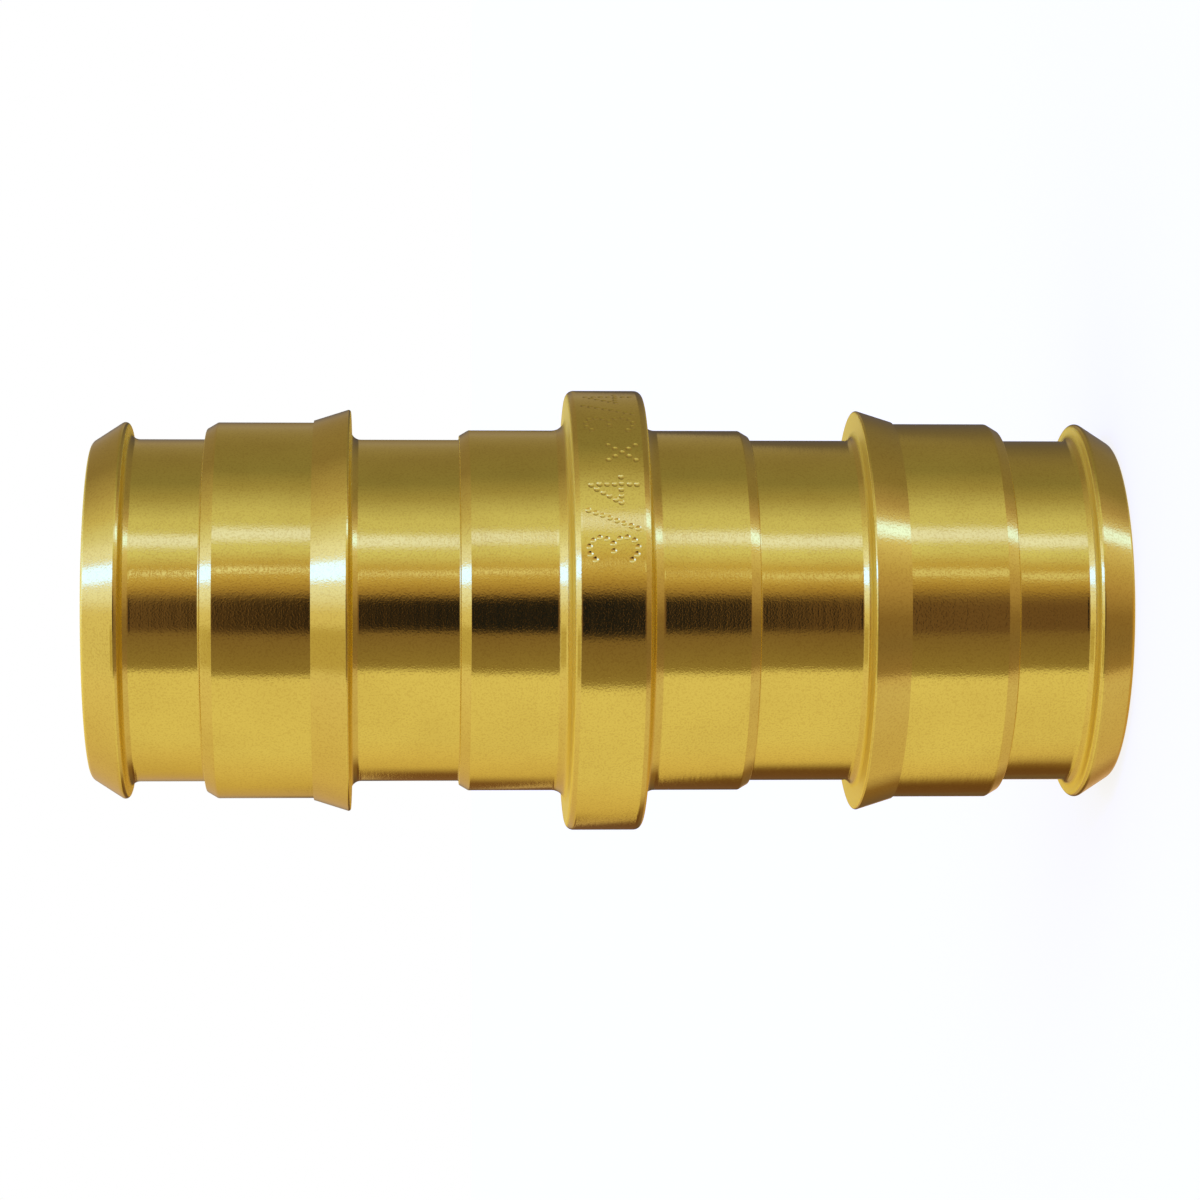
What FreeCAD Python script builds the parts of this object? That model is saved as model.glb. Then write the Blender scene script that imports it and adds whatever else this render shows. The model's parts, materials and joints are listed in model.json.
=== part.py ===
import FreeCAD, Part
import Sketcher
import os

# Barbed coupling for expanded plastic pipe, one piece turned from brass bar.
# The axis is +Z, the lower end face lies on Z = 0, and the two spigots mirror
# each other about the middle of the collar. All sizes are millimetres.

doc = FreeCAD.newDocument("barb_coupling")

driving_sizes = {
    # waterway, and the wall that is left under the grooves
    "bore_diameter": 15.6,
    "wall_thickness": 1.78,
    "bore_chamfer": 0.4,
    # collar between the two pipes
    "collar_width": 4.28,
    "collar_height": 2.77,
    "collar_corner_radius": 0.45,
    "collar_base_radius": 0.75,
    # land beside the collar, measured up from the groove floor
    "inner_land_length": 5.96,
    "inner_land_rise": 0.54,
    "inner_land_base_radius": 0.08,
    # cone that leads the expanded pipe up onto it, within the land's length
    "inner_lead_length": 0.52,
    "inner_lead_fall": 0.31,
    "inner_lead_top_radius": 0.2,
    "inner_lead_foot_radius": 0.05,
    # groove between the inner land and the main barb
    "inner_groove_length": 6.04,
    # main barb: a steep flank towards the collar, a cone towards the tip
    "barb_height": 1.72,
    "barb_cone_length": 2.05,
    "barb_foot_step": 0.12,
    "barb_crest_radius": 0.13,
    "barb_base_radius": 0.55,
    # land beyond the main barb
    "outer_land_length": 5.96,
    "outer_land_rise": 0.95,
    "outer_land_base_radius": 0.12,
    "outer_lead_length": 0.62,
    "outer_lead_fall": 0.37,
    "outer_lead_top_radius": 0.25,
    "outer_lead_foot_radius": 0.12,
    # groove between the outer land and the end barb
    "outer_groove_length": 4.3,
    # end barb and the nose cone that leads into the pipe
    "end_barb_height": 1.17,
    "end_barb_crest_radius": 0.25,
    "end_barb_base_radius": 0.55,
    "nose_length": 2.1,
    "nose_fall": 1.36,
    "nose_edge_radius": 0.5,
}

sheet = doc.addObject("Spreadsheet::Sheet", "sizes")
for row, (name, value) in enumerate(driving_sizes.items(), start=1):
    sheet.set(f"A{row}", str(value))
    sheet.setAlias(f"A{row}", name)
doc.recompute()


def size(name):
    return float(sheet.get(name))


# Axial lengths from the middle of the collar to the end face.
half_length = (
    "sizes.collar_width / 2 + sizes.inner_land_length + sizes.inner_groove_length"
    " + sizes.barb_cone_length + sizes.outer_land_length + sizes.outer_groove_length"
    " + sizes.nose_length"
)


def outline_points():
    """Corners of the half section as (radius, height), collar middle to tip."""
    bore = size("bore_diameter") / 2
    groove = bore + size("wall_thickness")
    collar = groove + size("collar_height")
    inner_land = groove + size("inner_land_rise")
    outer_land = groove + size("outer_land_rise")
    collar_face = size("collar_width") / 2
    inner_step = collar_face + size("inner_land_length")
    barb_flank = inner_step + size("inner_groove_length")
    cone_foot = barb_flank + size("barb_cone_length")
    outer_step = cone_foot + size("outer_land_length")
    end_flank = outer_step + size("outer_groove_length")
    end_face = end_flank + size("nose_length")
    return {
        "bore_middle": (bore, 0),
        "collar_middle": (collar, 0),
        "collar_corner": (collar, collar_face),
        "collar_base": (inner_land, collar_face),
        "inner_lead_top": (inner_land, inner_step - size("inner_lead_length")),
        "inner_lead_foot": (inner_land - size("inner_lead_fall"), inner_step),
        "inner_land_base": (groove, inner_step),
        "barb_base": (groove, barb_flank),
        "barb_crest": (groove + size("barb_height"), barb_flank),
        "barb_foot": (outer_land + size("barb_foot_step"), cone_foot),
        "outer_land_start": (outer_land, cone_foot),
        "outer_lead_top": (outer_land, outer_step - size("outer_lead_length")),
        "outer_lead_foot": (outer_land - size("outer_lead_fall"), outer_step),
        "outer_land_base": (groove, outer_step),
        "end_barb_base": (groove, end_flank),
        "end_barb_crest": (groove + size("end_barb_height"), end_flank),
        "nose_edge": (groove + size("end_barb_height") - size("nose_fall"), end_face),
        "bore_mouth": (bore, end_face),
    }


# Each entry spans two corners of the section, across the axis or along it.
spans_across = {
    "wall_thickness": ("bore_middle", "inner_land_base"),
    "collar_height": ("inner_land_base", "collar_middle"),
    "inner_land_rise": ("inner_land_base", "collar_base"),
    "inner_lead_fall": ("inner_lead_foot", "inner_lead_top"),
    "barb_height": ("barb_base", "barb_crest"),
    "outer_land_rise": ("outer_land_base", "outer_land_start"),
    "outer_lead_fall": ("outer_lead_foot", "outer_lead_top"),
    "barb_foot_step": ("outer_land_start", "barb_foot"),
    "end_barb_height": ("end_barb_base", "end_barb_crest"),
    "nose_fall": ("nose_edge", "end_barb_crest"),
}
spans_along = {
    "inner_land_length": ("collar_corner", "inner_lead_foot"),
    "inner_lead_length": ("inner_lead_top", "inner_lead_foot"),
    "inner_groove_length": ("inner_land_base", "barb_base"),
    "barb_cone_length": ("barb_crest", "barb_foot"),
    "outer_land_length": ("barb_foot", "outer_lead_foot"),
    "outer_lead_length": ("outer_lead_top", "outer_lead_foot"),
    "outer_groove_length": ("outer_land_base", "end_barb_base"),
    "nose_length": ("end_barb_crest", "nose_edge"),
}
sloped_edges = ("inner_lead_top", "barb_crest", "outer_lead_top", "end_barb_crest")


def origin_plane(body, role):
    return next(item for item in body.Origin.OriginFeatures if item.Role == role)


def draw_half_section(body):
    """Closed half section in the XZ plane, with one line from corner to corner."""
    corners = outline_points()
    names = list(corners)
    sketch = body.newObject("Sketcher::SketchObject", "half_section")
    sketch.AttachmentSupport = [(origin_plane(body, "XZ_Plane"), "")]
    sketch.MapMode = "FlatFace"
    origin = (-1, 1)

    for index, name in enumerate(names):
        following = names[(index + 1) % len(names)]
        first = FreeCAD.Vector(*corners[name], 0)
        second = FreeCAD.Vector(*corners[following], 0)
        sketch.addGeometry(Part.LineSegment(first, second))
    for index, name in enumerate(names):
        following = (index + 1) % len(names)
        # Point 1 of a line is its start, and point 2 its end.
        sketch.addConstraint(Sketcher.Constraint("Coincident", index, 2, following, 1))
        if name in sloped_edges:
            continue
        next_corner = corners[names[following]]
        direction = "Vertical" if corners[name][0] == next_corner[0] else "Horizontal"
        sketch.addConstraint(Sketcher.Constraint(direction, index))

    def dimension(kind, first, second, label, formula):
        constraint = Sketcher.Constraint(kind, *first, *second, 1.0)
        number = sketch.addConstraint(constraint)
        sketch.renameConstraint(number, label)
        sketch.setExpression(f"Constraints.{label}", formula)

    def corner(name):
        return (names.index(name), 1)

    # The middle of the collar lies on the mirror plane.
    sketch.addConstraint(Sketcher.Constraint("PointOnObject", *corner("bore_middle"), -1))
    # Both groove floors are turned to one diameter.
    floor_ends = (*corner("barb_base"), *corner("outer_land_base"))
    sketch.addConstraint(Sketcher.Constraint("Vertical", *floor_ends))

    dimension("DistanceX", origin, corner("bore_middle"), "bore_radius", "sizes.bore_diameter / 2")
    dimension(
        "DistanceY",
        corner("collar_middle"),
        corner("collar_corner"),
        "collar_half_width",
        "sizes.collar_width / 2",
    )
    for label, (first, second) in spans_across.items():
        dimension("DistanceX", corner(first), corner(second), label, f"sizes.{label}")
    for label, (first, second) in spans_along.items():
        dimension("DistanceY", corner(first), corner(second), label, f"sizes.{label}")
    return sketch


def turned_edges(feature, corner_name):
    """Names of the two circular edges, one on each spigot, at a corner of the section."""
    radius, height = outline_points()[corner_name]
    tolerance = 1e-4
    found = []
    for number, edge in enumerate(feature.Shape.Edges, start=1):
        if not isinstance(edge.Curve, Part.Circle):
            continue
        same_radius = abs(edge.Curve.Radius - radius) < tolerance
        same_height = abs(abs(edge.Curve.Center.z) - height) < tolerance
        if same_radius and same_height:
            found.append(f"Edge{number}")
    return found


# Each radius with the step it is turned on and the share of it that it may fill.
rounded_corners = {
    "collar_corner": ("collar_width", 0.45),
    "collar_base": ("collar_height", 0.45),
    "inner_lead_top": ("inner_lead_length", 0.45),
    "inner_lead_foot": ("inner_land_rise", 0.1),
    "inner_land_base": ("inner_land_rise", 0.16),
    "barb_crest": ("barb_height", 0.3),
    "barb_base": ("barb_height", 0.45),
    "outer_lead_top": ("outer_lead_length", 0.45),
    "outer_lead_foot": ("outer_land_rise", 0.15),
    "outer_land_base": ("outer_land_rise", 0.25),
    "end_barb_crest": ("end_barb_height", 0.3),
    "end_barb_base": ("end_barb_height", 0.5),
    "nose_edge": ("nose_length", 0.45),
}


def add_coupling_body():
    body = doc.addObject("PartDesign::Body", "coupling_body")
    body.Label = "coupling_body"
    body.setExpression("Placement.Base.z", half_length)
    sketch = draw_half_section(body)

    half = body.newObject("PartDesign::Revolution", "half_turning")
    half.Profile = sketch
    half.ReferenceAxis = (sketch, ["V_Axis"])
    half.Angle = 360
    doc.recompute()

    whole = body.newObject("PartDesign::Mirrored", "both_spigots")
    whole.Originals = [half]
    whole.MirrorPlane = (origin_plane(body, "XY_Plane"), [""])
    whole.Refine = True
    body.Tip = whole
    doc.recompute()

    base = whole
    for corner_name, (step, share) in rounded_corners.items():
        rounding = body.newObject("PartDesign::Fillet", f"{corner_name}_rounding")
        rounding.Base = (base, turned_edges(base, corner_name))
        radius = f"min(sizes.{corner_name}_radius; {share} * sizes.{step})"
        rounding.setExpression("Radius", radius)
        doc.recompute()
        base = rounding

    mouths = body.newObject("PartDesign::Chamfer", "bore_mouths")
    mouths.Base = (base, turned_edges(base, "bore_mouth"))
    mouths.setExpression("Size", "min(sizes.bore_chamfer; 0.4 * sizes.wall_thickness)")
    doc.recompute()
    return body


coupling_body = add_coupling_body()
doc.recompute()

for item in doc.Objects:
    if "Invalid" in item.State or "Error" in item.State:
        raise RuntimeError(f"{item.Label} did not build: {item.State}")
if coupling_body.Shape.isNull() or not coupling_body.Shape.isValid():
    raise RuntimeError("coupling_body has no valid shape")

os.makedirs("parts", exist_ok=True)
coupling_body.Shape.exportStep("parts/coupling_body.step")
box = coupling_body.Shape.BoundBox
print(f"coupling_body: {len(coupling_body.Shape.Solids)} solid, {len(coupling_body.Shape.Faces)} faces")
print(f"volume {coupling_body.Shape.Volume:.1f} mm3, height {box.ZMin:.3f} to {box.ZMax:.3f} mm")
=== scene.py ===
import bpy
import json
import math
from mathutils import Matrix, Vector

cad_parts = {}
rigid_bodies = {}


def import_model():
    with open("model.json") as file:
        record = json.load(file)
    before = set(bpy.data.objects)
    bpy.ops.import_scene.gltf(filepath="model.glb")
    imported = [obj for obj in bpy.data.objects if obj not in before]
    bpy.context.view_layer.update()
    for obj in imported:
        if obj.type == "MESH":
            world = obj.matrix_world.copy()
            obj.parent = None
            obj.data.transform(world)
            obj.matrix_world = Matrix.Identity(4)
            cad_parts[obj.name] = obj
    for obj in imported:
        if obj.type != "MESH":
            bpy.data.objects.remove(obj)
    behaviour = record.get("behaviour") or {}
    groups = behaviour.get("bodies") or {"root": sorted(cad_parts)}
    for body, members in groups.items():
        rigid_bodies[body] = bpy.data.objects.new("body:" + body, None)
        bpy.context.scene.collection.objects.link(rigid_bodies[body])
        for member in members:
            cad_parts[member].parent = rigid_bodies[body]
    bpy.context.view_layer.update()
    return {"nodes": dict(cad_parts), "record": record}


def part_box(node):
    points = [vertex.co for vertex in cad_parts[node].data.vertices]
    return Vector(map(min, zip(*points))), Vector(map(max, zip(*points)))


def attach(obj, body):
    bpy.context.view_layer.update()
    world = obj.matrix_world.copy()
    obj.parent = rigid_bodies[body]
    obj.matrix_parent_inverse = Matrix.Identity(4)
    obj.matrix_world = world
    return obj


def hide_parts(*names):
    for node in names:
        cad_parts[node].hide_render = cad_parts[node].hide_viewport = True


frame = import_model()
mounts = {mount["name"]: mount for mount in frame["record"]["mounts"]}
mm = 0.001
print("frame loaded:", ", ".join(frame["nodes"]))

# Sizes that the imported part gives
partLow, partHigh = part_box("coupling_body")
partLength = partHigh[2] - partLow[2]
middleHeight = (partLow[2] + partHigh[2]) / 2
collarRadius = (partHigh[0] - partLow[0]) / 2
collarHalf = mounts["upper_pipe_stop"]["pos_m"][2] - middleHeight
boreRadius = mounts["waterway"]["dims"]["r_mm"] * mm
boreChamfer = (partLength - mounts["waterway"]["dims"]["length_mm"] * mm) / 2
outerLandRadius = mounts["upper_spigot"]["dims"]["r_mm"] * mm


# Node helpers

def addNode(tree, kind, inputs=None, **settings):
    node = tree.nodes.new(kind)
    for name, value in settings.items():
        setattr(node, name, value)
    for key, value in (inputs or {}).items():
        feed(tree, node.inputs[key], value)
    return node


def feed(tree, socket, value):
    if isinstance(value, bpy.types.NodeSocket):
        tree.links.new(value, socket)
    elif isinstance(value, bpy.types.Node):
        tree.links.new(value.outputs[0], socket)
    else:
        socket.default_value = value


def mathNode(tree, operation, *values):
    node = addNode(tree, "ShaderNodeMath", operation=operation)
    for socket, value in zip(node.inputs, values):
        feed(tree, socket, value)
    return node.outputs[0]


def product(tree, *values):
    result = values[0]
    for value in values[1:]:
        result = mathNode(tree, "MULTIPLY", result, value)
    return result


def mixColors(tree, factor, first, second, blend="MIX"):
    node = addNode(tree, "ShaderNodeMix", data_type="RGBA", blend_type=blend)
    feed(tree, node.inputs[0], factor)
    feed(tree, node.inputs[6], first)
    feed(tree, node.inputs[7], second)
    return node.outputs[2]


def smoothRange(tree, value, low, high):
    node = addNode(tree, "ShaderNodeMapRange", interpolation_type="SMOOTHSTEP")
    for name, given in (("Value", value), ("From Min", low), ("From Max", high)):
        feed(tree, node.inputs[name], given)
    return node.outputs[0]


def newTree(name, kind, inputs, outputs):
    tree = bpy.data.node_groups.new(name, kind)
    for socketName, socketType, default in inputs:
        socket = tree.interface.new_socket(socketName, in_out="INPUT", socket_type=socketType)
        if default is not None:
            socket.default_value = default
    for socketName, socketType in outputs:
        tree.interface.new_socket(socketName, in_out="OUTPUT", socket_type=socketType)
    return tree, tree.nodes.new("NodeGroupInput").outputs, tree.nodes.new("NodeGroupOutput").inputs


# The turned body: one closed section, rounded corner by corner and turned about the axis

bodySettings = {
    "wallUnderGrooves": 1.78 * mm,
    "collarCornerRadius": 0.45 * mm,
    "collarBaseRadius": 0.75 * mm,
    "innerLandLength": 5.96 * mm,
    "innerLandRise": 0.54 * mm,
    "innerLandBaseRadius": 0.08 * mm,
    "innerLeadLength": 0.52 * mm,
    "innerLeadFall": 0.31 * mm,
    "innerLeadTopRadius": 0.2 * mm,
    "innerLeadFootRadius": 0.05 * mm,
    "innerGrooveLength": 6.04 * mm,
    "barbHeight": 1.72 * mm,
    "barbConeLength": 2.05 * mm,
    "barbFootStep": 0.12 * mm,
    "barbCrestRadius": 0.13 * mm,
    "barbBaseRadius": 0.55 * mm,
    "outerLandLength": 5.96 * mm,
    "outerLandBaseRadius": 0.12 * mm,
    "outerLeadLength": 0.62 * mm,
    "outerLeadFall": 0.37 * mm,
    "outerLeadTopRadius": 0.25 * mm,
    "outerLeadFootRadius": 0.12 * mm,
    "endBarbHeight": 1.17 * mm,
    "endBarbCrestRadius": 0.25 * mm,
    "endBarbBaseRadius": 0.55 * mm,
    "noseLength": 2.1 * mm,
    "noseFall": 1.36 * mm,
    "noseEdgeRadius": 0.5 * mm,
    "turningSteps": 240,
    "cornerSteps": 8,
    "runStep": 1.3 * mm,
    "supportGap": 0.05 * mm,     # a point this near each corner keeps the flats flat-shaded
    "sharpAngle": 22,
    "boreMargin": 0.02 * mm,
}

# Dot marks on the collar: a plain nominal size, peened one dot at a time
markSettings = {
    "text": "3/4 x 3/4",
    "glyphHeight": 2.65 * mm,
    "glyphGap": 0.17,
    "startAngle": 12,
    "dotSpacing": 0.4 * mm,
    "dotMerge": 0.3 * mm,
    "punchRadius": 0.5 * mm,
    "dotDepth": 0.031 * mm,
    "dotWander": 0.012 * mm,
    "dotCrease": 9,
    "seed": 7,
}


def arcPoints(centre, radius, start, end, steps=8):
    turns = [math.radians(start + (end - start) * step / steps) for step in range(steps + 1)]
    return [
        (centre[0] + radius * math.cos(turn), centre[1] + radius * math.sin(turn)) for turn in turns
    ]


# Each glyph has its width and its strokes, on a cap height of 1
glyphs = {
    "3": (
        0.54,
        [arcPoints((0.27, 0.75), 0.25, 150, -100), arcPoints((0.27, 0.26), 0.26, 62, -150)],
    ),
    "4": (0.62, [[(0.44, 0), (0.44, 1), (0, 0.32), (0.62, 0.32)]]),
    "/": (0.4, [[(0, 0), (0.4, 1)]]),
    "x": (0.44, [[(0, 0), (0.44, 0.55)], [(0, 0.55), (0.44, 0)]]),
    " ": (0.12, []),
}


def sectionCorners():
    s = bodySettings
    groove = boreRadius + s["wallUnderGrooves"]
    innerLand = groove + s["innerLandRise"]
    innerStep = collarHalf + s["innerLandLength"]
    barbFlank = innerStep + s["innerGrooveLength"]
    coneFoot = barbFlank + s["barbConeLength"]
    outerStep = coneFoot + s["outerLandLength"]
    endFace = partLength / 2
    endFlank = endFace - s["noseLength"]
    endCrest = groove + s["endBarbHeight"]
    upper = [
        (collarRadius, collarHalf, s["collarCornerRadius"]),
        (innerLand, collarHalf, s["collarBaseRadius"]),
        (innerLand, innerStep - s["innerLeadLength"], s["innerLeadTopRadius"]),
        (innerLand - s["innerLeadFall"], innerStep, s["innerLeadFootRadius"]),
        (groove, innerStep, s["innerLandBaseRadius"]),
        (groove, barbFlank, s["barbBaseRadius"]),
        (groove + s["barbHeight"], barbFlank, s["barbCrestRadius"]),
        (outerLandRadius + s["barbFootStep"], coneFoot, 0),
        (outerLandRadius, coneFoot, 0),
        (outerLandRadius, outerStep - s["outerLeadLength"], s["outerLeadTopRadius"]),
        (outerLandRadius - s["outerLeadFall"], outerStep, s["outerLeadFootRadius"]),
        (groove, outerStep, s["outerLandBaseRadius"]),
        (groove, endFlank, s["endBarbBaseRadius"]),
        (endCrest, endFlank, s["endBarbCrestRadius"]),
        (endCrest - s["noseFall"], endFace, s["noseEdgeRadius"]),
        (boreRadius + boreChamfer, endFace, 0),
        (boreRadius, endFace - boreChamfer, 0),
    ]
    return upper + [(radius, -height, rounding) for radius, height, rounding in reversed(upper)]


def sectionOutline():
    corners = sectionCorners()
    count = len(corners)
    places = [Vector((radius, height, 0)) for radius, height, rounding in corners]
    reaches = []                 # how far each rounding eats into its runs
    for index, (radius, height, rounding) in enumerate(corners):
        incoming = places[index] - places[index - 1]
        outgoing = places[(index + 1) % count] - places[index]
        reaches.append(rounding * math.tan(incoming.angle(outgoing) / 2))
    points, roundings = [], []
    gap = bodySettings["supportGap"]
    for index in range(count):
        following = (index + 1) % count
        run = places[following] - places[index]
        points.append(places[index])
        roundings.append(corners[index][2])
        if run.length - reaches[index] - reaches[following] > 3 * gap:
            direction = run.normalized()
            points.append(places[index] + direction * (reaches[index] + gap))
            points.append(places[following] - direction * (reaches[following] + gap))
            roundings += [0, 0]
    return points, roundings


def addSectionObject():
    points, roundings = sectionOutline()
    count = len(points)
    mesh = bpy.data.meshes.new("turnedSection")
    mesh.from_pydata(points, [(index, (index + 1) % count) for index in range(count)], [])
    attribute = mesh.attributes.new("cornerRadius", "FLOAT", "POINT")
    attribute.data.foreach_set("value", roundings)
    section = bpy.data.objects.new("turned_brass_body", mesh)
    bpy.context.scene.collection.objects.link(section)
    return section


def addMarkStrokes():
    points, edges = [], []
    pen = 0
    for letter in markSettings["text"]:
        width, strokes = glyphs[letter]
        for stroke in strokes:
            first = len(points)
            points += [(pen + x, y - 0.5, 0) for x, y in stroke]
            edges += [(index, index + 1) for index in range(first, len(points) - 1)]
        pen += width + markSettings["glyphGap"]
    mesh = bpy.data.meshes.new("markStrokes")
    mesh.from_pydata(points, edges, [])
    mesh.transform(Matrix.Scale(markSettings["glyphHeight"], 4))
    strokes = bpy.data.objects.new("markStrokes", mesh)
    bpy.context.scene.collection.objects.link(strokes)
    return strokes


def roundedSection(tree, outline, cornerSteps, runStep):
    curve = addNode(tree, "GeometryNodeMeshToCurve", {"Mesh": outline})
    radius = addNode(
        tree, "GeometryNodeInputNamedAttribute", {"Name": "cornerRadius"}, data_type="FLOAT"
    )
    rounded = addNode(
        tree,
        "GeometryNodeFilletCurve",
        {"Curve": curve, "Radius": radius, "Count": cornerSteps, "Limit Radius": False},
        mode="POLY",
    )
    # Long runs are divided, so that the rings stay near enough to square
    place = addNode(tree, "GeometryNodeInputPosition")
    following = addNode(tree, "GeometryNodeOffsetPointInCurve", {"Offset": 1})
    nextPlace = addNode(
        tree,
        "GeometryNodeFieldAtIndex",
        {"Value": place, "Index": following.outputs["Point Index"]},
        domain="POINT",
        data_type="FLOAT_VECTOR",
    )
    span = addNode(tree, "ShaderNodeVectorMath", operation="DISTANCE")
    feed(tree, span.inputs[0], place)
    feed(tree, span.inputs[1], nextPlace)
    cuts = mathNode(tree, "FLOOR", mathNode(tree, "DIVIDE", span.outputs["Value"], runStep))
    return addNode(tree, "GeometryNodeSubdivideCurve", {"Curve": rounded, "Cuts": cuts})


def turnedSolid(tree, section, steps):
    circle = addNode(tree, "GeometryNodeCurvePrimitiveCircle", {"Resolution": steps}, mode="RADIUS")
    next(socket for socket in circle.inputs if socket.name == "Radius").default_value = 1 * mm
    # The section's own radii are measured from the axis, so the circle's is taken off
    inward = addNode(tree, "GeometryNodeSetPosition", {"Geometry": section})
    inward.inputs["Offset"].default_value = (-1 * mm, 0, 0)
    return addNode(tree, "GeometryNodeCurveToMesh", {"Curve": circle, "Profile Curve": inward})


def peenedDots(tree, strokes, sizes):
    curve = addNode(tree, "GeometryNodeMeshToCurve", {"Mesh": strokes})
    spaced = addNode(
        tree,
        "GeometryNodeResampleCurve",
        {"Curve": curve, "Length": sizes["Dot Spacing"]},
        mode="LENGTH",
    )
    points = addNode(tree, "GeometryNodeCurveToPoints", {"Curve": spaced}, mode="EVALUATED")
    single = addNode(
        tree, "GeometryNodeMergeByDistance", {"Geometry": points, "Distance": sizes["Dot Merge"]}
    )
    shake = addNode(tree, "FunctionNodeRandomValue", data_type="FLOAT_VECTOR")
    shake.inputs["Min"].default_value = (-1, -1, -0.3)
    shake.inputs["Max"].default_value = (1, 1, 0.3)
    feed(tree, next(socket for socket in shake.inputs if socket.name == "Seed"), sizes["Seed"])
    wander = addNode(
        tree, "ShaderNodeVectorMath", {"Scale": sizes["Dot Wander"]}, operation="SCALE"
    )
    feed(tree, wander.inputs[0], shake)
    shaken = addNode(tree, "GeometryNodeSetPosition", {"Geometry": single, "Offset": wander})

    # Flat strokes are wrapped on the collar, and the punch balls sink by the dot depth
    place = addNode(tree, "ShaderNodeSeparateXYZ", {0: addNode(tree, "GeometryNodeInputPosition")})
    angle = mathNode(
        tree,
        "ADD",
        sizes["Start Angle"],
        mathNode(tree, "DIVIDE", place.outputs["X"], sizes["Collar Radius"]),
    )
    lift = mathNode(tree, "SUBTRACT", sizes["Punch Radius"], sizes["Dot Depth"])
    ballRadius = mathNode(tree, "ADD", sizes["Collar Radius"], lift)
    reach = mathNode(tree, "ADD", ballRadius, place.outputs["Z"])
    wrapped = addNode(
        tree,
        "ShaderNodeCombineXYZ",
        {
            "X": product(tree, reach, mathNode(tree, "SINE", angle)),
            "Y": product(tree, reach, mathNode(tree, "COSINE", angle), -1.0),
            "Z": mathNode(tree, "ADD", place.outputs["Y"], sizes["Middle Height"]),
        },
    )
    onCollar = addNode(tree, "GeometryNodeSetPosition", {"Geometry": shaken, "Position": wrapped})
    ball = addNode(
        tree, "GeometryNodeMeshIcoSphere", {"Radius": sizes["Punch Radius"], "Subdivisions": 4}
    )
    balls = addNode(tree, "GeometryNodeInstanceOnPoints", {"Points": onCollar, "Instance": ball})
    return addNode(tree, "GeometryNodeRealizeInstances", {"Geometry": balls})


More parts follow.
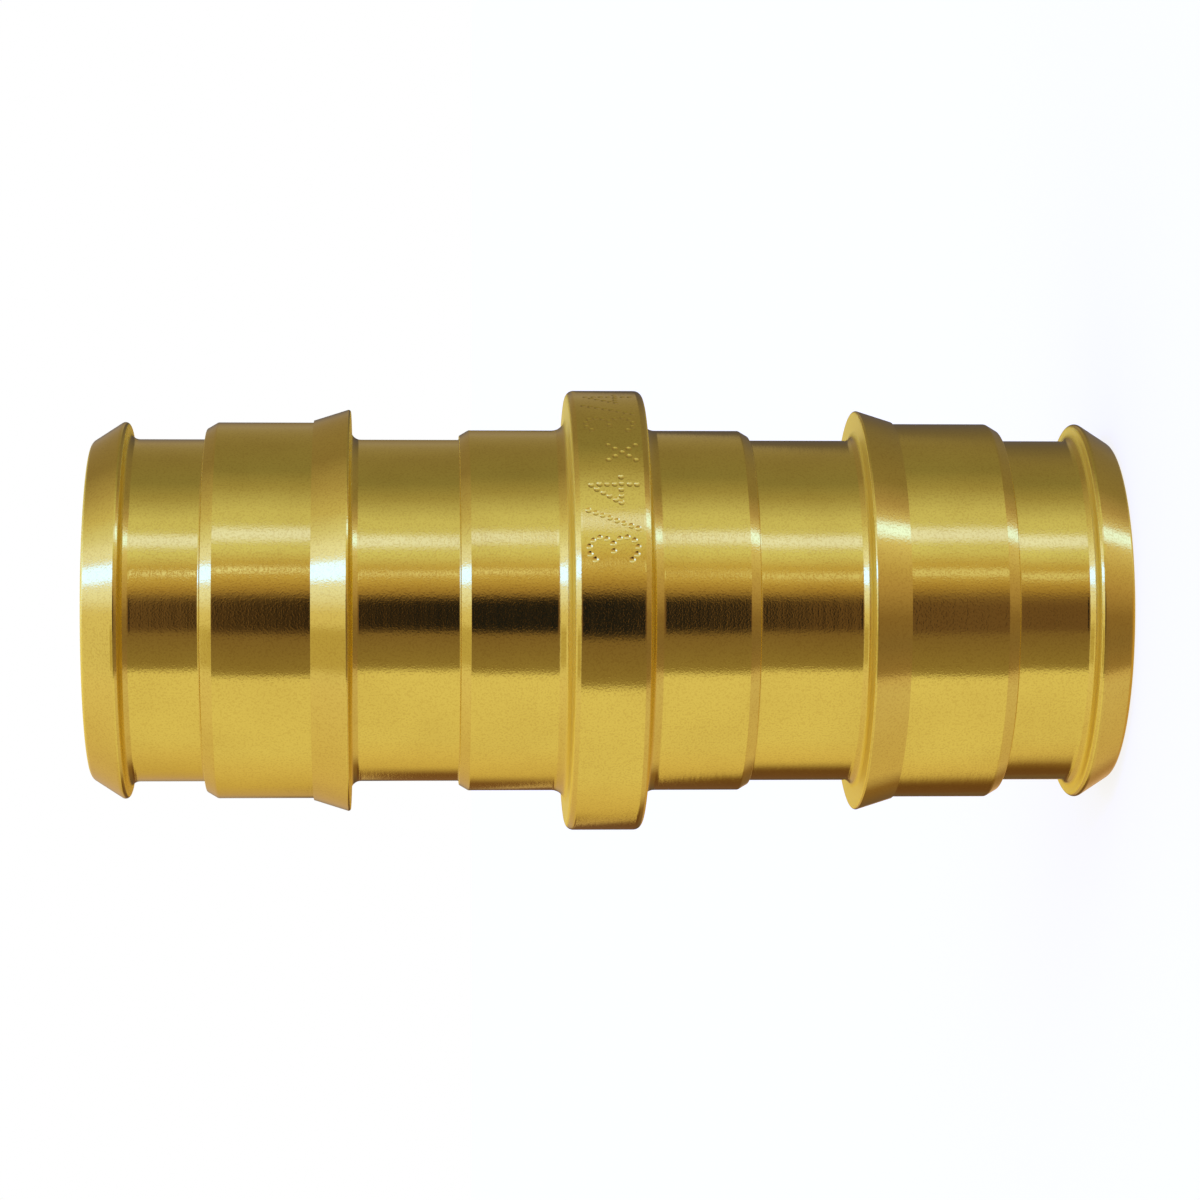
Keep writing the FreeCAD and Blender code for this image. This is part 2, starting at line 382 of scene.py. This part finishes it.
def buildTurningTree():
    decimal, whole = "NodeSocketFloat", "NodeSocketInt"
    tree, sizes, result = newTree(
        "turnedCoupling",
        "GeometryNodeTree",
        [
            ("Geometry", "NodeSocketGeometry", None),
            ("Turning Steps", whole, 64),
            ("Corner Steps", whole, 4),
            ("Run Step", decimal, 1 * mm),
            ("Sharp Angle", decimal, 0.5),
            ("Middle Height", decimal, 0.0),
            ("Collar Radius", decimal, 10 * mm),
            ("Bore Reach", decimal, 5 * mm),
            ("Mark Strokes", "NodeSocketObject", None),
            ("Start Angle", decimal, 0.0),
            ("Dot Spacing", decimal, 0.4 * mm),
            ("Dot Merge", decimal, 0.2 * mm),
            ("Punch Radius", decimal, 0.4 * mm),
            ("Dot Depth", decimal, 0.05 * mm),
            ("Dot Wander", decimal, 0.0),
            ("Dot Crease", decimal, 0.1),
            ("Mark Reach", decimal, 1 * mm),
            ("Seed", whole, 0),
            ("Turned Finish", "NodeSocketMaterial", None),
            ("Bored Finish", "NodeSocketMaterial", None),
        ],
        [("Geometry", "NodeSocketGeometry")],
    )
    section = roundedSection(tree, sizes["Geometry"], sizes["Corner Steps"], sizes["Run Step"])
    solid = turnedSolid(tree, section, sizes["Turning Steps"])
    lift = addNode(tree, "ShaderNodeCombineXYZ", {"Z": sizes["Middle Height"]})
    raised = addNode(tree, "GeometryNodeSetPosition", {"Geometry": solid, "Offset": lift})

    strokes = addNode(tree, "GeometryNodeObjectInfo", {"Object": sizes["Mark Strokes"]})
    dots = peenedDots(tree, strokes.outputs["Geometry"], sizes)
    peened = addNode(tree, "GeometryNodeMeshBoolean", operation="DIFFERENCE", solver="MANIFOLD")
    feed(tree, peened.inputs["Mesh 1"], raised)
    feed(tree, peened.inputs["Mesh 2"], dots)

    smooth = addNode(tree, "GeometryNodeSetShadeSmooth", {"Geometry": peened.outputs["Mesh"]})
    edgeAngle = addNode(tree, "GeometryNodeInputMeshEdgeAngle").outputs["Unsigned Angle"]
    # The rims of the shallow dots are kept crisp as well, in the zone that has them
    place = addNode(tree, "ShaderNodeSeparateXYZ", {0: addNode(tree, "GeometryNodeInputPosition")})
    fromMiddle = mathNode(
        tree, "ABSOLUTE", mathNode(tree, "SUBTRACT", place.outputs["Z"], sizes["Middle Height"])
    )
    nearDots = mathNode(tree, "LESS_THAN", fromMiddle, sizes["Mark Reach"])
    limit = mathNode(
        tree,
        "MULTIPLY_ADD",
        nearDots,
        mathNode(tree, "SUBTRACT", sizes["Dot Crease"], sizes["Sharp Angle"]),
        sizes["Sharp Angle"],
    )
    sharp = addNode(tree, "FunctionNodeCompare", data_type="FLOAT", operation="GREATER_THAN")
    feed(tree, sharp.inputs[0], edgeAngle)
    feed(tree, sharp.inputs[1], limit)
    creased = addNode(
        tree,
        "GeometryNodeSetShadeSmooth",
        {"Geometry": smooth, "Selection": sharp, "Shade Smooth": False},
        domain="EDGE",
    )

    whole = addNode(tree, "GeometryNodeRealizeInstances", {"Geometry": creased})
    fromAxis = mathNode(
        tree,
        "SQRT",
        mathNode(tree, "ADD", product(tree, place.outputs["X"], place.outputs["X"]),
                 product(tree, place.outputs["Y"], place.outputs["Y"])),
    )
    inBore = addNode(tree, "FunctionNodeCompare", data_type="FLOAT", operation="LESS_THAN")
    feed(tree, inBore.inputs[0], fromAxis)
    feed(tree, inBore.inputs[1], sizes["Bore Reach"])
    turned = addNode(
        tree, "GeometryNodeSetMaterial", {"Geometry": whole, "Material": sizes["Turned Finish"]}
    )
    bored = addNode(
        tree,
        "GeometryNodeSetMaterial",
        {"Geometry": turned, "Selection": inBore, "Material": sizes["Bored Finish"]},
    )
    feed(tree, result[0], bored)
    return tree


def setInputs(modifier, values):
    sockets = {
        item.name: item.identifier
        for item in modifier.node_group.interface.items_tree
        if item.item_type == "SOCKET" and item.in_out == "INPUT"
    }
    for name, value in values.items():
        modifier[sockets[name]] = value


def addTurnedBody(turnedFinish, boredFinish):
    body = addSectionObject()
    strokes = addMarkStrokes()
    turning = body.modifiers.new("turning", "NODES")
    turning.node_group = buildTurningTree()
    setInputs(
        turning,
        {
            "Turning Steps": bodySettings["turningSteps"],
            "Corner Steps": bodySettings["cornerSteps"],
            "Run Step": bodySettings["runStep"],
            "Sharp Angle": math.radians(bodySettings["sharpAngle"]),
            "Middle Height": middleHeight,
            "Collar Radius": collarRadius,
            "Bore Reach": boreRadius + bodySettings["boreMargin"],
            "Mark Strokes": strokes,
            "Start Angle": math.radians(markSettings["startAngle"]),
            "Dot Spacing": markSettings["dotSpacing"],
            "Dot Merge": markSettings["dotMerge"],
            "Punch Radius": markSettings["punchRadius"],
            "Dot Depth": markSettings["dotDepth"],
            "Dot Wander": markSettings["dotWander"],
            "Dot Crease": math.radians(markSettings["dotCrease"]),
            "Mark Reach": collarHalf - bodySettings["collarCornerRadius"],
            "Seed": markSettings["seed"],
            "Turned Finish": turnedFinish,
            "Bored Finish": boredFinish,
        },
    )
    evaluated = body.evaluated_get(bpy.context.evaluated_depsgraph_get())
    mesh = bpy.data.meshes.new_from_object(evaluated)
    body.modifiers.clear()
    body.data = mesh
    bpy.data.objects.remove(strokes)
    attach(body, "root")
    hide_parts("coupling_body")
    triangles = sum(len(face.vertices) - 2 for face in mesh.polygons)
    print("turned body:", triangles, "triangles,", len(mesh.materials), "finishes")
    return body


# Brass

brassSettings = {
    "brightBrass": (0.66, 0.465, 0.08, 1),
    "dullBrass": (0.56, 0.37, 0.06, 1),
    # paler brass for steep faces: painted light standing in for the brighter reflection of the step
    # strips
    "paintedStepBrightBrass": (0.84, 0.62, 0.07, 1),
    "edgeTint": (0.95, 0.88, 0.7, 1),
    "steepRoughness": 0.45,
    "steepRange": (0.6, 0.95),
    "ringRoughness": 0.06,       # from the smoothest ring to the roughest
    "ringPitch": 0.42 * mm,
    "ringWander": 1.2,
    "finePitch": 0.09 * mm,
    "fineWander": 4.0,
    "grainSize": 0.11 * mm,
    "pitRange": (0.46, 0.68),
    "speckle": 0.6,              # how far a pit is dulled
    "patchRange": (0.35, 0.75),
    "patchShare": 0.35,
}

turnedSurface = {"roughness": 0.1, "ringDepth": 3e-6, "fineDepth": 7e-7, "pitDepth": 9e-7}
boredSurface = {"roughness": 0.22, "ringDepth": 8e-6, "fineDepth": 2e-6, "pitDepth": 4e-6}


def buildRingMarks():
    # Rings left by the tool: they follow the axis on cylinders and the radius on end faces
    tree, given, result = newTree(
        "toolRings",
        "ShaderNodeTree",
        [
            ("Vector", "NodeSocketVector", None),
            ("Pitch", "NodeSocketFloat", 0.4 * mm),
            ("Wander", "NodeSocketFloat", 0.5),
            ("Detail", "NodeSocketFloat", 2.0),
        ],
        [("Height", "NodeSocketFloat")],
    )
    place = addNode(tree, "ShaderNodeSeparateXYZ", {0: given["Vector"]})
    flat = addNode(tree, "ShaderNodeCombineXYZ", {"X": place.outputs["X"], "Y": place.outputs["Y"]})
    radius = addNode(tree, "ShaderNodeVectorMath", operation="LENGTH")
    feed(tree, radius.inputs[0], flat)
    around = addNode(tree, "ShaderNodeVectorMath", operation="NORMALIZE")
    feed(tree, around.inputs[0], flat)
    turn = addNode(tree, "ShaderNodeSeparateXYZ", {0: around})
    coordinates = addNode(
        tree,
        "ShaderNodeCombineXYZ",
        {
            "X": mathNode(tree, "DIVIDE", place.outputs["Z"], given["Pitch"]),
            "Y": product(tree, turn.outputs["X"], given["Wander"]),
            "Z": product(tree, turn.outputs["Y"], given["Wander"]),
        },
    )
    noise = addNode(
        tree,
        "ShaderNodeTexNoise",
        {
            "Vector": coordinates,
            "W": mathNode(tree, "DIVIDE", radius.outputs["Value"], given["Pitch"]),
            "Scale": 1.0,
            "Detail": given["Detail"],
            "Roughness": 0.55,
        },
        noise_dimensions="4D",
    )
    feed(tree, result["Height"], noise.outputs[0])
    return tree


def buildGrain():
    # Sparse fine pits in the metal, and larger dull patches
    tree, given, result = newTree(
        "brassGrain",
        "ShaderNodeTree",
        [
            ("Vector", "NodeSocketVector", None),
            ("Grain Size", "NodeSocketFloat", 0.12 * mm),
            ("Patch Size", "NodeSocketFloat", 4 * mm),
        ],
        [("Pits", "NodeSocketFloat"), ("Patches", "NodeSocketFloat")],
    )
    noises = []
    for size, detail in (("Grain Size", 1.0), ("Patch Size", 4.0)):
        scale = mathNode(tree, "DIVIDE", 1.0, given[size])
        noises.append(
            addNode(
                tree,
                "ShaderNodeTexNoise",
                {"Vector": given["Vector"], "Scale": scale, "Detail": detail},
            )
        )
    feed(tree, result["Pits"], smoothRange(tree, noises[0].outputs[0], *brassSettings["pitRange"]))
    feed(tree, result["Patches"], noises[1].outputs[0])
    return tree


def brassMaterial(name, ringMarks, grainGroup, surface):
    material = bpy.data.materials.new(name)
    material.use_nodes = True
    tree = material.node_tree
    shader = tree.nodes["Principled BSDF"]
    coordinates = addNode(tree, "ShaderNodeTexCoord")
    place = coordinates.outputs["Object"]
    rings, fine = (addNode(tree, "ShaderNodeGroup", node_tree=ringMarks) for _ in range(2))
    for marks, size in ((rings, "ring"), (fine, "fine")):
        feed(tree, marks.inputs["Vector"], place)
        feed(tree, marks.inputs["Pitch"], brassSettings[f"{size}Pitch"])
        feed(tree, marks.inputs["Wander"], brassSettings[f"{size}Wander"])
    grain = addNode(tree, "ShaderNodeGroup", node_tree=grainGroup)
    feed(tree, grain.inputs["Vector"], place)
    feed(tree, grain.inputs["Grain Size"], brassSettings["grainSize"])

    speckle = product(tree, grain.outputs["Pits"], brassSettings["speckle"])
    patches = smoothRange(tree, grain.outputs["Patches"], *brassSettings["patchRange"])
    dulled = mathNode(tree, "MULTIPLY_ADD", patches, brassSettings["patchShare"], speckle)
    color = mixColors(tree, dulled, brassSettings["brightBrass"], brassSettings["dullBrass"])
    # Steep faces and corners are left rougher by the form tool, and get a paler brass colour:
    # painted light that stands in for the brighter reflection their steps lack
    facing = addNode(tree, "ShaderNodeSeparateXYZ", {0: coordinates.outputs["Normal"]})
    slope = mathNode(tree, "ABSOLUTE", facing.outputs["Z"])
    steep = smoothRange(tree, slope, *brassSettings["steepRange"])
    color = mixColors(tree, steep, color, brassSettings["paintedStepBrightBrass"])
    feed(tree, shader.inputs["Base Color"], color)
    shader.inputs["Metallic"].default_value = 1
    shader.inputs["Specular Tint"].default_value = brassSettings["edgeTint"]
    swing = brassSettings["ringRoughness"]
    spread = mathNode(
        tree, "MULTIPLY_ADD", rings.outputs[0], swing, surface["roughness"] - swing / 2
    )
    rougher = mathNode(tree, "MULTIPLY_ADD", steep, brassSettings["steepRoughness"], spread)
    feed(tree, shader.inputs["Roughness"], rougher)

    bump = addNode(
        tree, "ShaderNodeBump", {"Height": rings.outputs[0], "Distance": surface["ringDepth"]}
    )
    for height, depth in ((fine.outputs[0], "fineDepth"), (grain.outputs["Pits"], "pitDepth")):
        bump = addNode(
            tree, "ShaderNodeBump", {"Height": height, "Distance": surface[depth], "Normal": bump}
        )
    feed(tree, shader.inputs["Normal"], bump)
    return material


# Studio: a half turn of pale wall with dark cards, seen in the metal; white for the camera

studioSettings = {
    # angle round from the camera (degrees, of the surface that would mirror it) and colour
    "wall": [
        (-90, (0.0, 0.0, 0.0)),
        (-84, (0.1, 0.06, 0.03)),
        (-79, (0.66, 0.5, 0.26)),
        (-68, (0.84, 0.73, 0.42)),
        (-57, (0.98, 0.93, 0.78)),
        (-48, (1.02, 1.04, 0.99)),
        (-20.8, (1.04, 1.08, 1.08)),
        (-19.4, (0.4, 0.35, 0.27)),      # the table ends, and the dim room in front begins
        (-7.4, (0.29, 0.22, 0.2)),
        (-6.4, (0.21, 0.14, 0.15)),
        (1.5, (0.22, 0.145, 0.15)),
        (4, (0.3, 0.215, 0.2)),
        (7, (0.58, 0.45, 0.3)),
        (10, (0.8, 0.7, 0.52)),
        (14, (0.76, 0.67, 0.49)),
        (18.5, (0.97, 1.14, 1.35)),
        (31, (0.88, 1.0, 1.15)),
        (40, (0.52, 0.53, 0.5)),
        (47, (0.36, 0.37, 0.35)),
        (60, (0.36, 0.345, 0.33)),
        (75, (0.44, 0.42, 0.42)),
        (82, (0.31, 0.25, 0.13)),
        (90, (0.05, 0.04, 0.03)),
    ],
    # the wall seen by faces that look up to the left of the picture, and by those that look right
    "upperWall": [
        (-90, (0.1, 0.08, 0.05)),
        (-78, (0.7, 0.55, 0.4)),
        (-60, (0.9, 0.8, 0.7)),
        (-45, (0.95, 0.9, 0.85)),
        (-24, (1.02, 1.02, 1.1)),
        (-18, (0.99, 1.02, 1.12)),
        (0, (1.0, 1.04, 1.2)),
        (24, (1.0, 1.18, 1.8)),
        (29, (0.86, 0.9, 0.98)),
        (38, (0.6, 0.57, 0.58)),
        (50, (0.37, 0.33, 0.32)),
        (76, (0.4, 0.36, 0.34)),
        (90, (0.05, 0.04, 0.03)),
    ],
    "lowerWall": [
        (-90, (0.05, 0.04, 0.03)),
        (-64, (0.34, 0.22, 0.12)),
        (-56, (0.85, 0.76, 0.66)),
        (-24, (0.9, 0.87, 0.98)),
        (-20.4, (0.84, 0.76, 0.84)),
        (-18.6, (0.42, 0.33, 0.3)),
        (-10, (0.32, 0.25, 0.24)),
        (-2, (0.35, 0.26, 0.23)),
        (7, (0.66, 0.54, 0.5)),
        (13, (0.8, 0.73, 0.7)),
        (20, (1.0, 1.05, 1.3)),
        (27, (0.95, 0.98, 1.25)),
        (32, (0.62, 0.55, 0.62)),
        (40, (0.37, 0.34, 0.32)),
        (62, (0.3, 0.28, 0.3)),
        (90, (0.05, 0.04, 0.03)),
    ],
    "upperEdge": (5, 10),
    "lowerEdge": (-11, -7),
    # cards and lamps: span and feather round, span and feather up, colour
    "panels": [
        ("windowLine", (21.2, 25.4), 1.3, (-12.0, 6.0), 3.0, (1.22, 1.6, 4.6)),
        ("collarShade", (13.8, 26.6), 1.6, (-1.86, -1.27), 0.12, (0.91, 0.92, 0.74)),
        ("tubeByLand", (11.3, 12.9), 0.5, (0.8, 1.95), 0.15, (1.35, 1.75, 3.4)),
        ("tubeByCollar", (11.3, 12.9), 0.5, (-1.2, -0.02), 0.2, (1.2, 1.4, 2.2)),
        ("tubeByGroove", (10.3, 12.3), 0.6, (-7.0, -2.75), 0.2, (1.05, 1.2, 1.7)),
        ("roomShade", (-6.6, 4.0), 1.8, (-3.1, 1.7), 0.8, (0.05, 0.034, 0.045)),
        ("frontCard", (-6.7, 3.4), 1.4, (-2.4, -0.1), 0.5, (0.008, 0.014, 0.05)),
        ("contactShade", (-95.0, -69.0), 4.5, (-3.8, 1.1), 0.25, (0.24, 0.13, 0.06)),
        ("contactShadeRight", (-95.0, -65.0), 4.5, (-18.0, -5.6), 0.4, (0.2, 0.11, 0.06)),
        ("tableShade", (-18.0, -5.0), 1.6, (10.0, 33.8), 1.4, (0.73, 0.69, 0.55)),
        ("keyGlow", (2.0, 21.0), 3.5, (7.5, 75.0), 1.5, (1.2, 1.5, 3.4)),
        ("keyLamp", (8.6, 14.0), 1.2, (7.5, 75.0), 1.5, (1.35, 2.6, 16.0)),
        ("rightLamp", (21.6, 26.0), 1.3, (-50.0, -12.0), 2.0, (1.35, 2.2, 8.0)),
        ("backdrop", (-180.0, 180.0), 1.0, (72.0, 110.0), 10.0, (1.25, 1.2, 1.1)),
        ("warmSide", (-90.0, 6.0), 4.0, (-90.0, -44.0), 8.0, (0.7, 0.48, 0.28)),
    ],
}


def addPanelGroup():
    spans = ("From", "To", "Feather")
    names = ("Around", "Up", *(f"{way} {end}" for way in ("Around", "Up") for end in spans))
    tree, given, result = newTree(
        "softPanel",
        "ShaderNodeTree",
        [(name, "NodeSocketFloat", 0.0) for name in names],
        [("Mask", "NodeSocketFloat")],
    )
    sides = []
    for way in ("Around", "Up"):
        feather = given[f"{way} Feather"]
        start, end = given[f"{way} From"], given[f"{way} To"]
        low = mathNode(tree, "SUBTRACT", start, feather), mathNode(tree, "ADD", start, feather)
        high = mathNode(tree, "SUBTRACT", end, feather), mathNode(tree, "ADD", end, feather)
        sides.append(smoothRange(tree, given[way], *low))
        sides.append(mathNode(tree, "SUBTRACT", 1.0, smoothRange(tree, given[way], *high)))
    feed(tree, result["Mask"], product(tree, *sides))
    return tree


def wallColors(tree, around, stops):
    factor = mathNode(tree, "MULTIPLY_ADD", around, 1 / 180, 0.5)
    ramp = addNode(tree, "ShaderNodeValToRGB", {"Fac": factor})
    elements = ramp.color_ramp.elements
    while len(elements) < len(stops):
        elements.new(0.5)
    headroom = 2                 # a ramp holds colours up to 1
    for element, (angle, color) in zip(elements, stops):
        element.position = (angle + 90) / 180
    for element, (angle, color) in zip(elements, stops):
        element.color = (*(channel / headroom for channel in color), 1)
    scaled = addNode(tree, "ShaderNodeVectorMath", {"Scale": float(headroom)}, operation="SCALE")
    feed(tree, scaled.inputs[0], ramp)
    return scaled.outputs["Vector"]


def buildStudio():
    world = bpy.data.worlds.new("studio")
    bpy.context.scene.world = world
    world.use_nodes = True
    tree = world.node_tree
    background = tree.nodes["Background"]

    # The surface direction that would mirror this part of the studio to the camera
    direction = addNode(tree, "ShaderNodeTexCoord").outputs["Generated"]
    halfway = addNode(tree, "ShaderNodeVectorMath", operation="ADD")
    feed(tree, halfway.inputs[0], direction)
    halfway.inputs[1].default_value = (0, -1, 0)
    unit = addNode(tree, "ShaderNodeVectorMath", operation="NORMALIZE")
    feed(tree, unit.inputs[0], halfway)
    parts = addNode(tree, "ShaderNodeSeparateXYZ", {0: unit})
    toCamera = mathNode(tree, "MULTIPLY", parts.outputs["Y"], -1.0)
    around = mathNode(tree, "DEGREES", mathNode(tree, "ARCTAN2", parts.outputs["X"], toCamera))
    up = mathNode(tree, "DEGREES", mathNode(tree, "ARCSINE", parts.outputs["Z"]))

    color = wallColors(tree, around, studioSettings["wall"])
    upperMask = smoothRange(tree, up, *studioSettings["upperEdge"])
    color = mixColors(tree, upperMask, color, wallColors(tree, around, studioSettings["upperWall"]))
    lowerMask = mathNode(tree, "SUBTRACT", 1.0, smoothRange(tree, up, *studioSettings["lowerEdge"]))
    color = mixColors(tree, lowerMask, color, wallColors(tree, around, studioSettings["lowerWall"]))
    panelGroup = addPanelGroup()
    for name, roundSpan, roundFeather, upSpan, upFeather, panelColor in studioSettings["panels"]:
        panel = addNode(tree, "ShaderNodeGroup", node_tree=panelGroup, label=name)
        values = (around, up, *roundSpan, roundFeather, *upSpan, upFeather)
        for socket, value in zip(panel.inputs, values):
            feed(tree, socket, value)
        color = mixColors(tree, panel, color, (*panelColor, 1))

    # The camera sees plain white
    rays = addNode(tree, "ShaderNodeLightPath")
    seenWhite = mathNode(
        tree, "MAXIMUM", rays.outputs["Is Camera Ray"], rays.outputs["Is Transmission Ray"]
    )
    feed(tree, background.inputs["Color"], mixColors(tree, seenWhite, color, (1, 1, 1, 1)))
    background.inputs["Strength"].default_value = 1
    print("studio:", len(studioSettings["panels"]), "panels")


floorSettings = {
    "half": 2.0,
    "plainShare": 0.82,          # of white that the camera sees whatever the light
}


def addFloor():
    half = floorSettings["half"]
    mesh = bpy.data.meshes.new("floor")
    corners = [(-half, -half, 0), (half, -half, 0), (half, half, 0), (-half, half, 0)]
    mesh.from_pydata(corners, [], [(0, 1, 2, 3)])
    floor = bpy.data.objects.new("floor", mesh)
    bpy.context.scene.collection.objects.link(floor)
    material = bpy.data.materials.new("paleFloor")
    material.use_nodes = True
    tree = material.node_tree
    tree.nodes.remove(tree.nodes["Principled BSDF"])
    white = addNode(tree, "ShaderNodeEmission", {"Strength": 1.0})
    matt = addNode(tree, "ShaderNodeBsdfDiffuse", {"Color": (1, 1, 1, 1)})
    rays = addNode(tree, "ShaderNodeLightPath")
    share = mathNode(tree, "MULTIPLY", rays.outputs["Is Camera Ray"], floorSettings["plainShare"])
    mixed = addNode(tree, "ShaderNodeMixShader", {"Fac": share})
    feed(tree, mixed.inputs[1], matt)
    feed(tree, mixed.inputs[2], white)
    feed(tree, tree.nodes["Material Output"].inputs["Surface"], mixed)
    mesh.materials.append(material)
    floor.visible_glossy = False
    return floor


cameraSettings = {
    "lens": 115.4,
    "distance": 216.9 * mm,
    "above": 11.3 * mm,
    "downTilt": 2.99,
    "shift": (-0.0022, 0.0086),
}


def addCamera():
    data = bpy.data.cameras.new("camera")
    data.lens = cameraSettings["lens"]
    data.sensor_width = 36
    data.shift_x, data.shift_y = cameraSettings["shift"]
    data.clip_start = 0.01
    camera = bpy.data.objects.new("camera", data)
    bpy.context.scene.collection.objects.link(camera)
    # The photograph shows the coupling lying down, so the camera is rolled a quarter turn
    tilt = math.radians(cameraSettings["downTilt"])
    sine, cosine = math.sin(tilt), math.cos(tilt)
    right, up, backward = (0, -sine, -cosine), (1, 0, 0), (0, -cosine, sine)
    turned = Matrix((right, up, backward)).transposed().to_4x4()
    away = math.sqrt(cameraSettings["distance"] ** 2 - cameraSettings["above"] ** 2)
    place = Matrix.Translation((0, -away, middleHeight + cameraSettings["above"]))
    camera.matrix_world = place @ turned
    bpy.context.scene.camera = camera


ringMarks = buildRingMarks()
grainGroup = buildGrain()
turnedBrass = brassMaterial("turnedBrass", ringMarks, grainGroup, turnedSurface)
boredBrass = brassMaterial("boredBrass", ringMarks, grainGroup, boredSurface)
addTurnedBody(turnedBrass, boredBrass)
buildStudio()
addFloor()
addCamera()
bpy.context.scene.view_settings.view_transform = "Standard"
